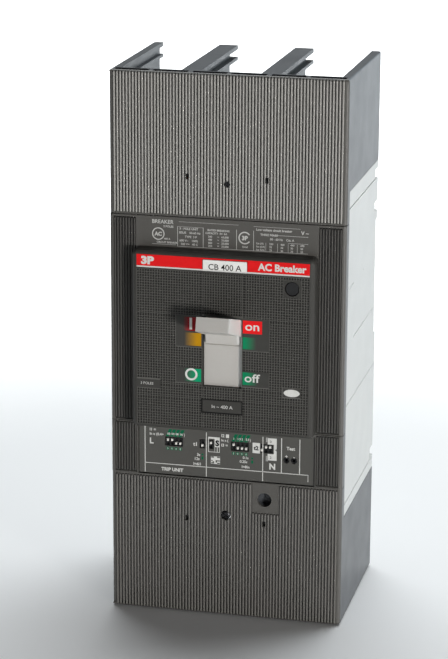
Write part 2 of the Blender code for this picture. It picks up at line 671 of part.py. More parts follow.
def make_trip_unit():
    housing = Piece("trip_unit_housing", "dark_plastic")
    box(
        housing.body,
        (-TRIP_HALF_WIDTH, -TRIP_FACE, TRIP_BOTTOM),
        (TRIP_HALF_WIDTH, -TRIP_BACK, TRIP_TOP),
    )
    inner = TRIP_HALF_WIDTH - 2
    box(
        housing.removed,
        (-inner, -TRIP_FACE + 1.6, TRIP_BOTTOM + 2),
        (inner, -TRIP_BACK + 1, TRIP_TOP - 2),
    )
    board = Piece("switch_board", "board")
    box(board.body, (-50, -92, -75.0), (50, -90.4, -50.5))
    middle = (BANK_LOW + BANK_HIGH) / 2
    for name, centre, count, up in BANKS:
        half = count * KNOB_PITCH / 2 + 0.2
        box(
            housing.removed,
            (centre - half - GAP, -TRIP_FACE - 1, BANK_LOW - GAP),
            (centre + half + GAP, -TRIP_FACE + 3, BANK_HIGH + GAP),
        )
        box(board.joined, (centre - half, -BANK_FRONT, BANK_LOW), (centre + half, -91, BANK_HIGH))
        for n, x in enumerate(knob_places(centre, count), 1):
            slot_low = (x - 0.8, -BANK_FRONT - 1, middle - 2.1)
            slot_high = (x + 0.8, -BANK_FRONT + 1.3, middle + 2.1)
            box(board.removed, slot_low, slot_high)
            z = middle + (KNOB_TRAVEL if n in up else -KNOB_TRAVEL)
            knob_name = name if count == 1 else f"{name}_{n}"
            knob = Piece(knob_name, "white_plastic", (x, -BANK_FRONT, z))
            box(knob.body, (x - 0.55, -BANK_FRONT - 0.9, z - 0.75), (x + 0.55, -BANK_FRONT + 1.0, z + 0.75))
            knob.finish()
    for name, x in SOCKETS:
        rod(housing.removed, (x, -TRIP_FACE - 1, SOCKET_Z), (x, -TRIP_FACE + 3, SOCKET_Z), 1.9, 16)
        socket = Piece(name, "brass")
        rod(socket.body, (x, -TRIP_FACE + 0.2, SOCKET_Z), (x, -92.4, SOCKET_Z), 1.5, 16)
        rod(socket.removed, (x, -TRIP_FACE - 1, SOCKET_Z), (x, -95, SOCKET_Z), 0.9, 12)
        socket.finish(smooth=True)
    housing.finish()
    board.finish()


def make_trip_solenoid():
    x, depth = PLUNGER_X, PLUNGER_DEPTH
    solenoid = Piece("trip_solenoid", "black_plastic")
    box(solenoid.body, (x - 7.5, -depth - 7, -22), (x + 7.5, -depth + 7, 12))
    rod(solenoid.removed, (x, -depth, -9), (x, -depth, 13), 2.4, 12)
    solenoid.finish()
    plunger = Piece("solenoid_plunger", "steel", (x, -depth, 12))
    rod(plunger.body, (x, -depth, -8), (x, -depth, 22.3), 2.0, 12)
    plunger.finish(smooth=True)


clear_scene()
PARTS = new_collection("molded_case_breaker")
HELPERS = new_collection("helpers")
make_materials()
make_base()
make_mid_cover()
make_relay_cover()
make_front_plate()
make_inserts()
make_terminal_covers()
make_cover_screws()
make_toggle_handle()
make_handle_yoke()
make_mechanism_frames()
make_cradle()
make_links()
make_main_springs()
make_trip_bar()
make_trip_test_button()
make_crossbar()
make_contact_arms()
make_conductors()
make_braids()
make_arc_chutes()
make_current_transformers()
make_trip_unit()
make_trip_solenoid()
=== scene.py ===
"""The looks of a three-pole molded case breaker with terminal covers and an electronic trip unit.

Lengths are in millimetres: X to the right, Y into the panel, Z up. They become metres when a mesh is made.
"""
import json
from math import cos, pi, radians, sin, tan

import bmesh
import bpy
from mathutils import Matrix, Vector


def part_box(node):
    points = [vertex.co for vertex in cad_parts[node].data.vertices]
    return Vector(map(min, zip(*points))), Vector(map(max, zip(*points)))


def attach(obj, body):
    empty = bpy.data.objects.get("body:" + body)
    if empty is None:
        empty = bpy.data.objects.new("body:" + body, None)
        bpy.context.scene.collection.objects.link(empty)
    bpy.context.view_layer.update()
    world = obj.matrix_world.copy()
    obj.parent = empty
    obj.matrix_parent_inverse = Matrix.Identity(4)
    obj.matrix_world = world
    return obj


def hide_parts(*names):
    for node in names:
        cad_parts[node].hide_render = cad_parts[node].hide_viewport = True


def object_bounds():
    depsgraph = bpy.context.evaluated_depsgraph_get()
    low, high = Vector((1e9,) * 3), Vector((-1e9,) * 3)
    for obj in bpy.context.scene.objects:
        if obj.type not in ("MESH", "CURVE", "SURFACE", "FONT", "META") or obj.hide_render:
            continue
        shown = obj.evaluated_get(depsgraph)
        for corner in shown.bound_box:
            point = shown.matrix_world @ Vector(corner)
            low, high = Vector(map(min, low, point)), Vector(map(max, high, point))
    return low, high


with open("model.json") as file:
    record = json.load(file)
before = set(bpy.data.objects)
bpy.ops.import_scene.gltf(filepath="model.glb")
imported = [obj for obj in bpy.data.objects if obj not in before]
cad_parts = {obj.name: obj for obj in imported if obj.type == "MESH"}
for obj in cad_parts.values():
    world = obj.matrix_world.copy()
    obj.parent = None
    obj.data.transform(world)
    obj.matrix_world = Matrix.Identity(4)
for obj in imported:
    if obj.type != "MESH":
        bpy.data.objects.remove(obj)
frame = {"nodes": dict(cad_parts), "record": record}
cad_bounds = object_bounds()

MM = 0.001
WELD = 0.002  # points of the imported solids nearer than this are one

RIB_PITCH = 1.85
RIB_COUNT = 73
RIB_HALF = 0.6
RIB_HEIGHT = 1.0
RIB_PROFILE = (
    (-1.0, 0.0), (-0.97, 0.45), (-0.86, 0.74), (-0.62, 0.9), (-0.3, 0.98),
    (0.0, 1.0), (0.3, 0.98), (0.62, 0.9), (0.86, 0.74), (0.97, 0.45), (1.0, 0.0),
)  # shares of the half width and of the height
FLANK_RIBS = 8
FLANK_START = 54.85  # the rib next to the escutcheon
FLANK_PITCH = 1.68
CORNER = 2.0  # radius of the covers' front corners
END_CORNER = 2.6  # radius of their outer ends, seen from the front
EDGE = 0.45  # radius that moulding leaves on an ordinary edge
FLOOR_FADE = (0.25, 1.0)  # metres
FLAT_AREA = 25.0  # a larger face is a plane, and is shaded as one
INK = 0.05  # how far a print stands proud

KNURL = 1.55
KNURL_LAND = 0.2
KNURL_SLOPE = 0.26
KNURL_DEPTH = 0.6

POLE_EDGE = 23.335  # the partitions between the poles
SHIELD_DEPTH = 110.7  # the toggle's shield, which stands upright when the handle is on


def corners_of(node):
    low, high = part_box(node)
    return low / MM, high / MM


# ---------------------------------------------------------------- camera and light


def make_camera():
    camera = bpy.data.cameras.new("camera")
    camera.sensor_width = 36.0
    camera.lens = 133.5
    camera.clip_end = 50.0
    obj = bpy.data.objects.new("camera", camera)
    bpy.context.scene.collection.objects.link(obj)
    right = Vector((0.973058, 0.230518, 0.004414))
    down = Vector((0.066539, -0.262437, -0.962652))
    forward = right.cross(-down).normalized() * -1
    turn = Matrix((right, -down, -forward)).transposed()
    obj.matrix_world = Matrix.Translation(Vector((311.64, -1431.78, 397.97)) * MM) @ turn.to_4x4()
    bpy.context.scene.camera = obj


def area_light(name, place, target, size, power, colour):
    light = bpy.data.lights.new(name, "AREA")
    light.shape = "DISK"
    light.size = size
    light.energy = power
    light.color = colour
    obj = bpy.data.objects.new(name, light)
    bpy.context.scene.collection.objects.link(obj)
    place, target = Vector(place), Vector(target)
    obj.location = place
    obj.rotation_euler = (target - place).to_track_quat("-Z", "Y").to_euler()


def make_light():
    """A low key from the right, a soft ceiling behind the object, and a white surround."""
    world = bpy.data.worlds.new("studio")
    world.use_nodes = True
    nodes, links = world.node_tree.nodes, world.node_tree.links
    surround = nodes["Background"]
    surround.inputs["Color"].default_value = (0.98, 0.99, 1.0, 1.0)
    surround.inputs["Strength"].default_value = 0.06
    backdrop = nodes.new("ShaderNodeBackground")
    backdrop.inputs["Color"].default_value = (1.0, 1.0, 1.0, 1.0)
    seen = nodes.new("ShaderNodeLightPath")
    blend = nodes.new("ShaderNodeMixShader")
    links.new(seen.outputs["Is Camera Ray"], blend.inputs["Fac"])
    links.new(surround.outputs["Background"], blend.inputs[1])
    links.new(backdrop.outputs["Background"], blend.inputs[2])
    links.new(blend.outputs["Shader"], nodes["World Output"].inputs["Surface"])
    bpy.context.scene.world = world
    bpy.context.scene.view_settings.view_transform = "Standard"
    area_light("key", (2.6, -2.94, 0.0), (0.0, -0.1, 0.02), 0.66, 124.0, (1.0, 0.985, 0.97))
    area_light("ceiling", (0.2, 1.75, 2.3), (0.2, 1.6, 0.0), 3.4, 110.0, (0.94, 0.98, 1.0))
    area_light("side_panel", (1.35, 2.0, 0.3), (0.0, 0.0, 0.0), 2.0, 12.0, (0.78, 0.91, 1.0))


def fade_floor(nodes, links, shader):
    """Lets the floor run into the white surround between two distances from the part."""
    place = nodes.new("ShaderNodeTexCoord")
    distance = nodes.new("ShaderNodeVectorMath")
    distance.operation = "LENGTH"
    links.new(place.outputs["Object"], distance.inputs[0])
    fade = nodes.new("ShaderNodeMapRange")
    fade.interpolation_type = "SMOOTHSTEP"
    fade.inputs["From Min"].default_value = FLOOR_FADE[0]
    fade.inputs["From Max"].default_value = FLOOR_FADE[1]
    links.new(distance.outputs["Value"], fade.inputs["Value"])
    seen = nodes.new("ShaderNodeMath")
    seen.operation = "MULTIPLY"
    links.new(fade.outputs["Result"], seen.inputs[0])
    links.new(nodes.new("ShaderNodeLightPath").outputs["Is Camera Ray"], seen.inputs[1])
    links.new(seen.outputs[0], shader.inputs["Emission Strength"])
    shader.inputs["Emission Color"].default_value = (1.0, 1.0, 1.0, 1.0)


def make_floor():
    bm = bmesh.new()
    bmesh.ops.create_grid(bm, x_segments=1, y_segments=1, size=6.0)
    mesh = bpy.data.meshes.new("floor")
    bm.to_mesh(mesh)
    bm.free()
    floor = bpy.data.objects.new("floor", mesh)
    floor.location.z = cad_bounds[0].z - 0.0005
    bpy.context.scene.collection.objects.link(floor)
    material = bpy.data.materials.new("floor")
    material.use_nodes = True
    shader = material.node_tree.nodes["Principled BSDF"]
    shader.inputs["Base Color"].default_value = (0.93, 0.93, 0.93, 1.0)
    shader.inputs["Roughness"].default_value = 0.9
    fade_floor(material.node_tree.nodes, material.node_tree.links, shader)
    mesh.materials.append(material)


# ---------------------------------------------------------------- materials


class Finish:
    """A Principled material whose colour, roughness and bump come from procedural noise."""

    def __init__(self, name, colour, roughness, metallic=0.0):
        self.material = bpy.data.materials.new(name)
        self.material.use_nodes = True
        self.nodes = self.material.node_tree.nodes
        self.links = self.material.node_tree.links
        self.shader = self.nodes["Principled BSDF"]
        self.shader.inputs["Metallic"].default_value = metallic
        self.shader.inputs["Roughness"].default_value = roughness
        self.place = self.nodes.new("ShaderNodeTexCoord").outputs["Object"]
        self.colour = self.rgb(colour)
        self.links.new(self.colour, self.shader.inputs["Base Color"])

    def rgb(self, colour):
        node = self.nodes.new("ShaderNodeRGB")
        node.outputs[0].default_value = (*[linear(c / 255) for c in colour], 1.0)
        return node.outputs[0]

    def noise(self, per_metre, detail=2.0, stretch=None):
        source = self.place
        if stretch:
            mapping = self.nodes.new("ShaderNodeMapping")
            mapping.inputs["Scale"].default_value = stretch
            self.links.new(source, mapping.inputs["Vector"])
            source = mapping.outputs["Vector"]
        node = self.nodes.new("ShaderNodeTexNoise")
        node.inputs["Scale"].default_value = per_metre
        node.inputs["Detail"].default_value = detail
        self.links.new(source, node.inputs["Vector"])
        return node.outputs["Fac"]

    def spread(self, value, low, high, start=0.3, end=0.7):
        node = self.nodes.new("ShaderNodeMapRange")
        for socket, number in zip(("From Min", "From Max", "To Min", "To Max"), (start, end, low, high)):
            node.inputs[socket].default_value = number
        self.links.new(value, node.inputs["Value"])
        return node.outputs["Result"]

    def mix(self, factor, other):
        """Blends the colour so far towards another one."""
        node = self.nodes.new("ShaderNodeMix")
        node.data_type = "RGBA"
        self.links.new(factor, node.inputs["Factor"])
        self.links.new(self.colour, node.inputs[6])
        self.links.new(self.rgb(other), node.inputs[7])
        self.colour = node.outputs[2]
        self.links.new(self.colour, self.shader.inputs["Base Color"])

    def roughen(self, per_metre, low, high, stretch=None):
        value = self.spread(self.noise(per_metre, 3.0, stretch), low, high)
        self.links.new(value, self.shader.inputs["Roughness"])

    def bump(self, per_metre, height, stretch=None):
        node = self.nodes.new("ShaderNodeBump")
        node.inputs["Distance"].default_value = height * MM
        self.links.new(self.noise(per_metre, 2.0, stretch), node.inputs["Height"])
        self.links.new(node.outputs["Normal"], self.shader.inputs["Normal"])

    def along(self, axis, start, end):
        """0 at start and 1 at end, in millimetres along an axis of the object."""
        split = self.nodes.new("ShaderNodeSeparateXYZ")
        self.links.new(self.place, split.inputs[0])
        return self.spread(split.outputs[axis], 0.0, 1.0, start * MM, end * MM)


def linear(value):
    return value / 12.92 if value <= 0.04045 else ((value + 0.055) / 1.055) ** 2.4


def plastic(name, colour, darker, lighter, rough=(0.42, 0.56), grain=0.02):
    """Moulded plastic: faint flow marks, fine speckle and an eroded mould texture."""
    finish = Finish(name, colour, rough[0])
    finish.mix(finish.spread(finish.noise(14.0, 3.0), 0.0, 0.55), darker)
    finish.mix(finish.spread(finish.noise(900.0, 1.0), 0.0, 0.2, 0.5, 0.8), lighter)
    finish.roughen(60.0, *rough)
    finish.bump(2600.0, grain)
    return finish


def metal(name, colour, darker, rough=(0.25, 0.42), stretch=(1.0, 1.0, 12.0)):
    finish = Finish(name, colour, rough[0], 1.0)
    finish.mix(finish.spread(finish.noise(35.0, 4.0), 0.0, 0.7), darker)
    finish.roughen(220.0, *rough, stretch)
    finish.bump(900.0, 0.01, stretch)
    return finish


def ink(name, colour, wear_and_shade):
    finish = Finish(name, colour, 0.5)
    finish.shader.inputs["Specular IOR Level"].default_value = 0.2
    finish.mix(finish.spread(finish.noise(700.0, 2.0), 0.0, 0.4, 0.45, 0.8), wear_and_shade)
    finish.roughen(300.0, 0.5, 0.65)
    return finish


def faded_ink(name, colour, ground, start, end):
    """A printed field whose colour dies away into the ground from start to end along X."""
    finish = ink(name, colour, [0.9 * c for c in colour])
    finish.mix(finish.along("X", start, end), ground)
    return finish.material


def make_materials():
    cover = plastic("dark_moulding", (90, 88, 84), (84, 82, 78), (98, 96, 92), (0.34, 0.40), 0.003)
    # The side walls turn a darker bluish grey behind their first few millimetres: painted shade and a
    # painted bluish sheen. The lighter strip left along the front edge is a painted edge highlight.
    cover.mix(cover.along("Y", -101.6, -99.6), (72, 75, 79))
    # Each rib finish runs from a dark root colour to a light crest colour along Y: painted shade in the
    # grooves and a painted highlight on the crests.
    ribs = plastic("rib_moulding", (58, 57, 54), (54, 53, 50), (64, 63, 60), (0.42, 0.46), 0.002)
    ribs.mix(ribs.along("Y", -102.95, -103.35), (172, 170, 165))
    # The lower cover's rib finish is darker than the upper one's and has a dimmer crest: painted shade, as
    # if less light reached the lower cover, with a painted crest highlight.
    wear_and_shade = plastic("shaded_rib_moulding", (54, 53, 50), (50, 49, 46), (60, 59, 56), (0.42, 0.46), 0.002)
    wear_and_shade.mix(wear_and_shade.along("Y", -102.95, -103.35), (118, 116, 112))
    # The flank ribs beside the escutcheon are darker still: painted shade from the escutcheon, with a
    # painted crest highlight.
    flank = plastic("flank_rib_moulding", (40, 39, 37), (36, 35, 33), (46, 45, 42), (0.42, 0.46), 0.002)
    flank.mix(flank.along("Y", -102.95, -103.35), (104, 102, 98))
    for finish, level in ((cover, 0.6), (ribs, 0.25), (wear_and_shade, 0.25), (flank, 0.25)):
        finish.shader.inputs["Specular IOR Level"].default_value = level
    plate = plastic("escutcheon_moulding", (65, 64, 61), (59, 58, 55), (73, 72, 69), (0.38, 0.46), 0.005)
    knurl = plastic("knurled_moulding", (100, 99, 95), (94, 93, 89), (108, 107, 103), (0.40, 0.48), 0.003)
    # The knurl's pits darken towards their floors: painted shade in the recesses.
    knurl.mix(knurl.along("Y", -113.45, -113.1), (44, 43, 41))
    for finish in (plate, knurl):
        finish.shader.inputs["Specular IOR Level"].default_value = 0.3
    face = plastic("trip_unit_moulding", (82, 81, 77), (77, 76, 72), (90, 89, 85), (0.42, 0.5), 0.006)
    base = plastic("base_moulding", (208, 210, 208), (200, 203, 203), (216, 217, 215), (0.42, 0.55), 0.01)
    handle = plastic(
        "handle_moulding", (196, 193, 188), (190, 187, 182), (204, 201, 196), (0.46, 0.54), 0.006
    )
    # The handle's right flank, beyond X 9.6, is lighter: painted light from the right, which also paints
    # over the shadow that the slot's edge casts on the shield.
    handle.mix(handle.along("X", 8.6, 9.6), (228, 228, 225))
    black = plastic("black_moulding", (28, 28, 30), (20, 20, 22), (44, 44, 46), (0.35, 0.5))
    white = plastic("switch_plastic", (240, 238, 232), (228, 226, 220), (250, 249, 246), (0.3, 0.4), 0.01)
    fibre = plastic("insulating_fibre", (168, 150, 118), (148, 130, 98), (190, 172, 140), (0.6, 0.8), 0.06)
    board = plastic("circuit_board", (24, 70, 50), (18, 56, 40), (40, 92, 66), (0.3, 0.45), 0.01)
    board.mix(board.along("Y", -92.0, -92.5), (16, 16, 17))
    label = ink("label_card", (250, 250, 246), (240, 240, 236))
    finishes = {
        "dark_plastic": cover, "rib_plastic": ribs, "worn_rib_plastic": wear_and_shade,
        "flank_rib_plastic": flank, "knurled_plastic": knurl,
        "escutcheon_plastic": plate, "trip_face": face, "light_plastic": base,
        "handle_plastic": handle, "black_plastic": black, "white_plastic": white, "insulation": fibre,
        "board": board, "label": label,
        "steel": metal("zinc_steel", (176, 178, 182), (138, 140, 146)),
        "dark_steel": metal("blackened_steel", (74, 74, 76), (50, 50, 52), (0.3, 0.45)),
        "copper": metal("copper", (198, 128, 92), (158, 92, 62)),
        "brass": metal("brass", (202, 170, 96), (160, 128, 64)),
        "silver_contact": metal("tinned_copper", (206, 206, 204), (168, 168, 166)),
        "white_ink": ink("white_ink", (226, 226, 222), (196, 196, 192)),
        "grey_ink": ink("grey_ink", (214, 214, 210), (190, 190, 186)),
        "black_ink": ink("black_ink", (26, 26, 26), (40, 40, 40)),
        "red_ink": ink("red_ink", (238, 24, 28), (226, 18, 24)),
        "green_ink": ink("green_ink", (0, 108, 72), (0, 96, 64)),
    }
    return {name: finish.material for name, finish in finishes.items()}


# ---------------------------------------------------------------- mesh helpers


def box(bm, low, high):
    low, high = Vector(low), Vector(high)
    made = bmesh.ops.create_cube(bm, size=1.0)
    for vert in made["verts"]:
        vert.co = Vector([(a + b) / 2 + c * (b - a) for a, b, c in zip(low, high, vert.co)])


def rod(bm, x, z, near, far, radius, sides=24, far_radius=None):
    """A round bar along Y between two depths."""
    end_radius = radius if far_radius is None else far_radius
    turn = Matrix.Translation((x, -(near + far) / 2, z)) @ Matrix.Rotation(radians(90), 4, "X")
    bmesh.ops.create_cone(
        bm, cap_ends=True, segments=sides, radius1=end_radius, radius2=radius, depth=near - far, matrix=turn
    )


def ring(bm, x, z, outer, inner, near, far, sides=36, start=0.0, sweep=360.0):
    """A flat ring facing the front, or an arc of one."""
    turns = [radians(start + sweep * n / sides) for n in range(sides + (sweep < 360.0))]
    loops = []
    for turn in turns:
        points = ((outer, near), (outer, far), (inner, far), (inner, near))
        loops.append([(x + r * cos(turn), -y, z + r * sin(turn)) for r, y in points])
    loft(bm, loops, closed=sweep >= 360.0)


def loft(bm, loops, closed=False):
    """Joins equal loops of points in a row by quads, and caps the ends unless they meet."""
    rows = [[bm.verts.new(point) for point in loop] for loop in loops]
    pairs = list(zip(rows, rows[1:] + rows[:1])) if closed else list(zip(rows, rows[1:]))
    for first, second in pairs:
        for n in range(len(first)):
            m = (n + 1) % len(first)
            bm.faces.new((first[n], first[m], second[m], second[n]))
    if not closed:
        bm.faces.new(rows[0])
        bm.faces.new(rows[-1])


def shape_of(node):
    """A CAD node's solid in millimetres, with its flat faces whole again."""
    bm = bmesh.new()
    bm.from_mesh(frame["nodes"][node].data)
    bmesh.ops.scale(bm, vec=(1 / MM,) * 3, verts=bm.verts)
    bmesh.ops.remove_doubles(bm, verts=bm.verts, dist=WELD)
    bmesh.ops.dissolve_limit(bm, angle_limit=radians(1), verts=bm.verts, edges=bm.edges)
    return bm


def temporary(bm):
    bmesh.ops.recalc_face_normals(bm, faces=bm.faces)
    mesh = bpy.data.meshes.new("temporary")
    bm.to_mesh(mesh)
    bm.free()
    obj = bpy.data.objects.new("temporary", mesh)
    bpy.context.scene.collection.objects.link(obj)
    return obj


def combine(bm, tool, operation):
    """The Boolean of two sets of closed shapes, as a new mesh."""
    target, helper = temporary(bm), temporary(tool)
    boolean = target.modifiers.new("boolean", "BOOLEAN")
    boolean.operation = operation
    boolean.object = helper
    boolean.solver = "EXACT"
    boolean.use_self = True
    graph = bpy.context.evaluated_depsgraph_get()
    result = bmesh.new()
    result.from_mesh(target.evaluated_get(graph).to_mesh())
    for obj in (target, helper):
        bpy.data.objects.remove(obj)
    bmesh.ops.dissolve_limit(result, angle_limit=radians(0.5), verts=result.verts, edges=result.edges)
    return result


def round_edges(bm, radius, segments, chosen):
    sharp = [e for e in bm.edges if len(e.link_faces) == 2 and e.calc_face_angle(0.0) > radians(30)]
    edges = [e for e in sharp if chosen(e)]
    bmesh.ops.bevel(
        bm, geom=edges, offset=radius, segments=segments, profile=0.5, affect="EDGES", clamp_overlap=True
    )


def long_convex(shortest):
    def chosen(edge):
        return edge.calc_length() > shortest and edge.is_convex
    return chosen


def piece(name, bm, finish, body="case", replaced=(), smooth=35.0):
    bmesh.ops.recalc_face_normals(bm, faces=bm.faces)
    bmesh.ops.scale(bm, vec=(MM,) * 3, verts=bm.verts)
    mesh = bpy.data.meshes.new(name)
    bm.to_mesh(mesh)
    bm.free()
    mesh.materials.append(finish if isinstance(finish, bpy.types.Material) else FINISHES[finish])
    mesh.shade_smooth()
    mesh.set_sharp_from_angle(angle=radians(smooth))
    for polygon in mesh.polygons:
        polygon.use_smooth = polygon.area < FLAT_AREA * MM * MM
    obj = bpy.data.objects.new(name, mesh)
    bpy.context.scene.collection.objects.link(obj)
    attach(obj, body)
    if replaced:
        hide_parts(*replaced)
    return obj


class Print:
    """Thin marks on a face that looks to the front, gathered into one piece."""

    def __init__(self, depth):
        self.bm, self.depth = bmesh.new(), depth

    def field(self, x_low, x_high, z_low, z_high, proud=INK):
        box(self.bm, (x_low, -self.depth - proud, z_low), (x_high, -self.depth + 0.1, z_high))

    def line(self, start, end, width=0.3):
        (x0, z0), (x1, z1) = start, end
        half = width / 2
        self.field(min(x0, x1) - half, max(x0, x1) + half, min(z0, z1) - half, max(z0, z1) + half)

    def text(self, words, x, z, size, align="LEFT", bold=0.0, squeeze=1.0):
        curve = bpy.data.curves.new("words", "FONT")
        curve.body = words
        curve.size = size
        curve.align_x = align
        curve.extrude = INK
        curve.offset = bold
        curve.resolution_u = 3
        curve.fill_mode = "BOTH"
        obj = bpy.data.objects.new("words", curve)
        bpy.context.scene.collection.objects.link(obj)
        graph = bpy.context.evaluated_depsgraph_get()
        mesh = bpy.data.meshes.new_from_object(obj.evaluated_get(graph))
        place = Matrix.Translation((x, -self.depth - INK / 2, z)) @ Matrix.Rotation(radians(90), 4, "X")
        mesh.transform(place @ Matrix.Diagonal((squeeze, 1.0, 1.0, 1.0)))
        self.bm.from_mesh(mesh)
        bpy.data.objects.remove(obj)
        bpy.data.curves.remove(curve)
        bpy.data.meshes.remove(mesh)

    def finish(self, name, finish, body="case"):
        return piece(name, self.bm, finish, body, smooth=30.0)


# ---------------------------------------------------------------- ribbed covers


def add_rib(bm, x, z_low, z_high, root, height=RIB_HEIGHT):
    """A closed ridge along Z with a broad crest and round shoulders, sunk into the skin behind it."""
    sink = 0.4
    rise = ((0.0, 0.0), (0.25, 0.55), (0.6, 0.85), (1.1, 1.0))
    stations = [(z_low + d, k) for d, k in rise] + [(z_high - d, k) for d, k in reversed(rise)]
    loops = []
    for z, share in stations:
        loop = [(x + RIB_HALF * across, -root - height * share * up, z) for across, up in RIB_PROFILE]
        loops.append([(x - RIB_HALF, -root + sink, z)] + loop + [(x + RIB_HALF, -root + sink, z)])
    loft(bm, loops)


def lower_front(bm, front, drop):
    """Sinks the outer skin so that the ribs' crests, and not their roots, reach the front."""
    for vert in bm.verts:
        if vert.co.y < -front + 0.05:
            vert.co.y = -front + drop


def round_cover(bm, front):
    def corner(edge):
        upright = abs(edge.verts[0].co.z - edge.verts[1].co.z) > 8
        return upright and all(abs(v.co.y + front) < 0.01 and abs(v.co.x) > 69 for v in edge.verts)
    round_edges(bm, CORNER, 4, corner)
    round_edges(bm, EDGE, 2, long_convex(9.0))


def end_corners(z):
    """The edges from front to back at a cover's outer end, where its side walls turn in."""
    def chosen(edge):
        on_corner = all(abs(abs(v.co.x) - 69.8) < 0.01 and abs(v.co.z - z) < 0.01 for v in edge.verts)
        return on_corner and edge.calc_length() > 20
    return chosen


def flank_positions():
    return [side * (FLANK_START + n * FLANK_PITCH) for side in (-1, 1) for n in range(FLANK_RIBS)]


def make_terminal_cover(name, end):
    node = f"{name}_terminal_cover"
    low, high = corners_of(node)
    front = -low.y
    bm = shape_of(node)
    near, far = (low.z, high.z) if end > 0 else (high.z, low.z)
    lower_front(bm, front, RIB_HEIGHT)
    round_edges(bm, END_CORNER, 5, end_corners(far))
    round_cover(bm, front - RIB_HEIGHT)

    ribs = bmesh.new()
    for n in range(RIB_COUNT):
        x = (n - (RIB_COUNT - 1) / 2) * RIB_PITCH
        start = near + end * 0.9
        if end < 0 and 15.9 < x < 31.6:
            start = -97.1
        add_rib(ribs, x, *sorted((start, far - end * 0.5)), front - RIB_HEIGHT)
    holes = bmesh.new()
    for x in (-POLE_EDGE, POLE_EDGE):
        box(holes, (x - 1.0, -front - 1, end * 103.7 - 1.7), (x + 1.0, -front + 3, end * 103.7 + 1.7))
    rod(holes, 0, end * 100.2, front + 1, front - 3, 1.9 if end > 0 else 3.1)
    piece(f"{node}_moulding", bm, "dark_plastic", replaced=[node])
    # The lower cover's ribs take the darker rib finish: painted shade over the lower cover, with a dimmer
    # painted crest highlight.
    finish = "rib_plastic" if node.startswith("upper") else "worn_rib_plastic"
    piece(f"{node}_ribs", combine(ribs, holes, "DIFFERENCE"), finish)


def make_front_cover(name, rib_low, rib_high):
    """The mid cover or the relay cover, whose flanks beside the inner face are ribbed."""
    low, _ = corners_of(name)
    front = -low.y
    bm = shape_of(name)
    for vert in bm.verts:
        if vert.co.y < -front + 0.05 and abs(vert.co.x) > 69:
            vert.co.y = -front + 0.001
    round_cover(bm, front)
    trough = bmesh.new()
    width = (FLANK_RIBS - 1) * FLANK_PITCH + 2 * RIB_HALF + 0.5
    for side in (-1, 1):
        inner = FLANK_START - RIB_HALF - 0.25
        x_pair = sorted((side * inner, side * (inner + width)))
        box(trough, (x_pair[0], -front - 1, rib_low), (x_pair[1], -front + RIB_HEIGHT, rib_high))
    bm = combine(bm, trough, "DIFFERENCE")
    ribs = bmesh.new()
    for x in flank_positions():
        add_rib(ribs, x, rib_low + 0.1, rib_high - 0.1, front - RIB_HEIGHT)
    piece(f"{name}_moulding", bm, "dark_plastic", replaced=[name])
    piece(f"{name}_ribs", ribs, "flank_rib_plastic")


def make_covers():
    make_terminal_cover("upper", 1)
    make_terminal_cover("lower", -1)
    mid_low, mid_high = corners_of("mid_cover")
    make_front_cover("mid_cover", mid_low.z + 0.5, mid_high.z - 1.2)
    relay_low, relay_high = corners_of("relay_cover")
    make_front_cover("relay_cover", relay_low.z + 0.5, relay_high.z - 0.5)


# ---------------------------------------------------------------- escutcheon


def snapped(low, high, pitch, marks):
    """Evenly spaced lines from low to high, the nearest ones moved onto the marks."""
    count = round((high - low) / pitch)
    lines = [low + (high - low) * n / count for n in range(count + 1)]
    for mark in marks:
        nearest = min(range(len(lines)), key=lambda n: abs(lines[n] - mark))
        lines[nearest] = mark
    return lines


def make_knurled_sheet(front, low, high, openings, plain, hole):
    """A sheet with square pits all over, but for its plain zones and its openings; hole is a round one."""
    x_marks = [x for zone in openings for x in zone[:2]]
    z_marks = [z for zone in openings for z in zone[2:]]
    xs = snapped(low[0], high[0], KNURL, x_marks)
    zs = snapped(low[1], high[1], KNURL, z_marks)
    bm = bmesh.new()
    verts = {(i, k): bm.verts.new((x, -front, z)) for i, x in enumerate(xs) for k, z in enumerate(zs)}
    hole_x, hole_z, hole_radius = hole
    pitted = []

    def inside(zones, x, z):
        return any(x_low < x < x_high and z_low < z < z_high for x_low, x_high, z_low, z_high in zones)

    reach = hole_radius + 0.35
    hole_zone = [(hole_x - reach, hole_x + reach, hole_z - reach, hole_z + reach)]
    for i in range(len(xs) - 1):
        for k in range(len(zs) - 1):
            x, z = (xs[i] + xs[i + 1]) / 2, (zs[k] + zs[k + 1]) / 2
            if inside(openings + hole_zone, x, z):
                continue
            face = bm.faces.new([verts[i, k], verts[i + 1, k], verts[i + 1, k + 1], verts[i, k + 1]])
            if not inside(plain, x, z):
                pitted.append(face)
    bmesh.ops.delete(bm, geom=[v for v in bm.verts if not v.link_faces], context="VERTS")
    square = [
        e for e in bm.edges
        if len(e.link_faces) == 1
        and all((v.co.x - hole_x) ** 2 + (v.co.z - hole_z) ** 2 < 60 for v in e.verts)
    ]
    turn = Matrix.Translation((hole_x, -front, hole_z)) @ Matrix.Rotation(radians(90), 4, "X")
    circle = bmesh.ops.create_circle(bm, cap_ends=False, radius=hole_radius, segments=28, matrix=turn)
    rim = list({e for v in circle["verts"] for e in v.link_edges})
    bmesh.ops.triangle_fill(bm, edges=square + rim, use_beauty=True, normal=(0, -1, 0))
    bmesh.ops.inset_individual(bm, faces=pitted, thickness=KNURL_LAND, depth=0.0)
    bmesh.ops.inset_individual(bm, faces=pitted, thickness=KNURL_SLOPE, depth=-KNURL_DEPTH)
    outline = [e for e in bm.edges if len(e.link_faces) == 1]
    skirt = bmesh.ops.extrude_edge_only(bm, edges=outline)["geom"]
    for vert in (g for g in skirt if isinstance(g, bmesh.types.BMVert)):
        vert.co.y += 1.0
    behind = [g for g in skirt if isinstance(g, bmesh.types.BMEdge) and len(g.link_faces) == 1]
    bmesh.ops.triangle_fill(bm, edges=behind, use_beauty=False, normal=(0, 1, 0))
    return bm


